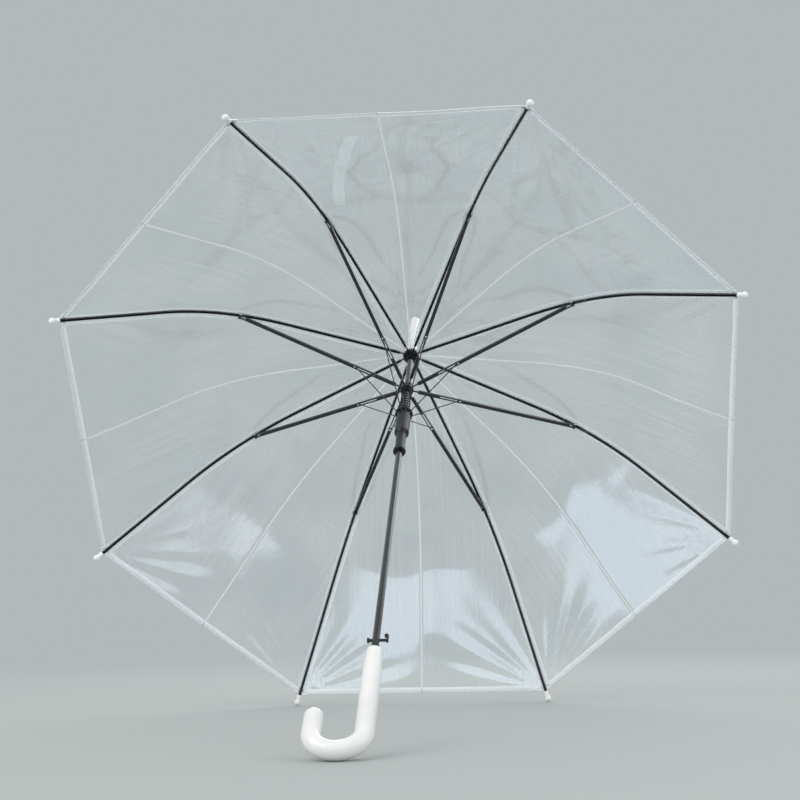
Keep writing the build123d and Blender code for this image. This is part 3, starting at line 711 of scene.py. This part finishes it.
# %% A lathe
def lathe(name, profile, centre, axis, material, turns=24):
    """A closed turned mesh from (radius, height) points, its height along axis from centre."""
    angle = np.linspace(0, 2 * math.pi, turns, endpoint=False)
    up = Vector(axis).normalized()
    out = up.orthogonal().normalized()
    around = up.cross(out)
    points = []
    for radius, height in profile:
        points += [Vector(centre) + up * height + (out * math.cos(a) + around * math.sin(a)) * radius
                   for a in angle]
    faces = [(i * turns + j, i * turns + (j + 1) % turns, (i + 1) * turns + (j + 1) % turns,
              (i + 1) * turns + j) for i in range(len(profile) - 1) for j in range(turns)]
    faces.append(tuple(range(turns))[::-1])
    faces.append(tuple(range((len(profile) - 1) * turns, len(profile) * turns)))
    mesh = bpy.data.meshes.new(name)
    mesh.from_pydata([tuple(p) for p in points], [], faces)
    mesh.polygons.foreach_set("use_smooth", [True] * len(mesh.polygons))
    mesh.materials.append(material)
    made = bpy.data.objects.new(name, mesh)
    bpy.context.scene.collection.objects.link(made)
    return made


# %% Head the rivets
DOME_RADIUS = 0.0021
DOME_HEIGHT = 0.0008
DOME_RIM = 0.0002
HEAD_FACE = 0.0031             # joint's middle to the face of the rivet's head
dome_profile = [(DOME_RADIUS, 0.0)] + [
    (DOME_RADIUS * math.cos(a), DOME_HEIGHT * math.sin(a) + DOME_RIM) for a in np.linspace(0.05, 1.45, 8)]
for k in range(1, RIBS + 1):
    pivot = joints[f"stretcher_{k}_joint"]
    pin_way = Vector(pivot["axis"]).normalized()
    for number, way in enumerate((pin_way, -pin_way), start=1):
        dome = lathe(f"rivet_dome_{k}_{number}", dome_profile, Vector(pivot["pos_m"]) + way * HEAD_FACE,
                     way, nickel)
        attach(dome, f"stretcher_{k}")
print("rivet domes", 2 * RIBS)

# %% [markdown]
# ## The cut of a half panel
# Each half panel is cut as a long triangle of film: as wide as half the hem and as long as the rib, with
# 2 % more for the hem and the seam. As the cut isn't a rectangle, its own area is given too, measured
# from the mesh before its thickness.


# %% [markdown]
# ## A pale studio
# Clear film shows what stands behind it, so the background decides how it reads: on pure white its white
# lines would vanish, and a soft grey keeps them. The world lights the umbrella evenly, but the camera,
# mirrors and see-through surfaces are shown the flat grey instead. The floor is matt paper near the
# umbrella, so that it takes a shadow, and fades into the same grey further out, with no horizon.

# %% Background
BACKGROUND = "#b2b9bb"
world = bpy.data.worlds.new("studio")
bpy.context.scene.world = world
world.use_nodes = True
sky = world.node_tree
sky.nodes.clear()
path = node(sky, "ShaderNodeLightPath")
indirect = node(sky, "ShaderNodeMath", {"operation": "MAXIMUM"}, i0=path.outputs["Is Glossy Ray"],
                i1=path.outputs["Is Transmission Ray"])
seen = node(sky, "ShaderNodeMath", {"operation": "MAXIMUM"}, i0=path.outputs["Is Camera Ray"],
            i1=indirect)
lit = node(sky, "ShaderNodeBackground", None, Color=colour("#ffffff"), Strength=0.95)
shown = node(sky, "ShaderNodeBackground", None, Color=colour(BACKGROUND), Strength=1.0)
both = node(sky, "ShaderNodeMixShader", None, i0=seen, i1=lit, i2=shown)
sky.links.new(both.outputs[0], node(sky, "ShaderNodeOutputWorld").inputs["Surface"])
print("background", BACKGROUND)

# %% Floor
FLOOR_TONE = "#9fa5a4"
FADE_FROM, FADE_TO = 0.8, 2.3  # metres from the middle of the floor
floor_paper, tree, out = new_material("studio_floor")
position = node(tree, "ShaderNodeNewGeometry").outputs["Position"]
far = node(tree, "ShaderNodeVectorMath", {"operation": "LENGTH"}, i0=position).outputs["Value"]
fade = node(tree, "ShaderNodeMapRange", {"interpolation_type": "SMOOTHSTEP"}, Value=far,
            From_Min=FADE_FROM, From_Max=FADE_TO)
paper = node(tree, "ShaderNodeBsdfPrincipled", None, Base_Color=colour(FLOOR_TONE), Roughness=0.85)
glow = node(tree, "ShaderNodeEmission", None, Color=colour(BACKGROUND), Strength=1.0)
floor_mix = node(tree, "ShaderNodeMixShader", None, i0=fade, i1=paper, i2=glow)
tree.links.new(floor_mix.outputs[0], out.inputs["Surface"])
bpy.ops.mesh.primitive_circle_add(vertices=96, radius=30, fill_type="NGON", location=(0, 0, 0))
floor = bpy.context.object
floor.name = "floor"
floor.data.materials.append(floor_paper)
print("floor fades from", FADE_FROM, "to", FADE_TO, "m")


# %% [markdown]
# ## Light
# Three large softboxes give soft, even light: a warm key from the left, a cool fill from the right, and
# a rim from behind, which lights the film's milk from its far side. Two weaker windows, in front and low
# on the left, are there to be mirrored. A lower panel is tilted so that it mirrors exactly those places,
# and the pale patches make the film look like film. All are large, so that no reflection is harsh.

# %% Softboxes and windows
def light_panel(name, place_at, aim, size, power, tint):
    """A rectangular area light that points from place_at to aim; size in metres, power in watts."""
    lamp = bpy.data.lights.new(name, "AREA")
    lamp.shape = "RECTANGLE"
    lamp.size, lamp.size_y = size
    lamp.energy = power
    lamp.color = colour(tint)[:3]
    made = bpy.data.objects.new(name, lamp)
    made.location = place_at
    made.rotation_euler = (Vector(aim) - Vector(place_at)).to_track_quat("-Z", "Y").to_euler()
    bpy.context.scene.collection.objects.link(made)
    return made


light_panel("key_softbox", (-1.7, -1.5, 2.3), (0, 0, 0.35), (2.1, 2.1), 31, "#fffaf2")
light_panel("fill_softbox", (2.2, -1.2, 1.3), (0, 0, 0.35), (1.6, 2.0), 14, "#f4f8ff")
light_panel("rim_softbox", (0.5, 2.4, 2.0), (0, 0.1, 0.45), (2.8, 1.8), 32, "#ffffff")
light_panel("window_front", (-0.25, -2.55, 1.35), (0, 0, 0.3), (1.2, 0.65), 4.6, "#dcebff")
light_panel("window_left", (-1.95, -1.3, 0.42), (0.3, 0, 0.2), (0.7, 0.8), 3.4, "#dcebff")
print("lights", len(bpy.data.lights))

# %% [markdown]
# ## Camera
# The camera stands low, a little to the right of the shaft's line, and looks slightly up into the open
# canopy. Its place, its aim and a small roll are set as angles, which is easier to adjust than a target
# point. The long lens keeps the far ribs from shrinking.

# %% Camera
CAMERA_PLACE = Vector((0.1742, -1.9166, 0.1592))
CAMERA_AZIMUTH, CAMERA_LOOK_UP, CAMERA_ROLL = (math.radians(a) for a in (4.926, 7.101, 1.248))
camera_data = bpy.data.cameras.new("camera")
camera_data.lens = 69.8
camera_data.sensor_width = 36.0
camera = bpy.data.objects.new("camera", camera_data)
ahead = Vector((-math.sin(CAMERA_AZIMUTH) * math.cos(CAMERA_LOOK_UP),
                math.cos(CAMERA_AZIMUTH) * math.cos(CAMERA_LOOK_UP), math.sin(CAMERA_LOOK_UP)))
level = ahead.to_track_quat("-Z", "Y").to_matrix().to_4x4()
camera.matrix_world = Matrix.Translation(CAMERA_PLACE) @ Matrix.Rotation(CAMERA_ROLL, 4, ahead) @ level
bpy.context.scene.collection.objects.link(camera)
bpy.context.scene.camera = camera
bpy.context.scene.view_settings.view_transform = "Standard"
# A look across the canopy passes many layers of film, so many clear bounces are allowed.
bpy.context.scene.cycles.transparent_max_bounces = 64
print("camera at", tuple(CAMERA_PLACE))
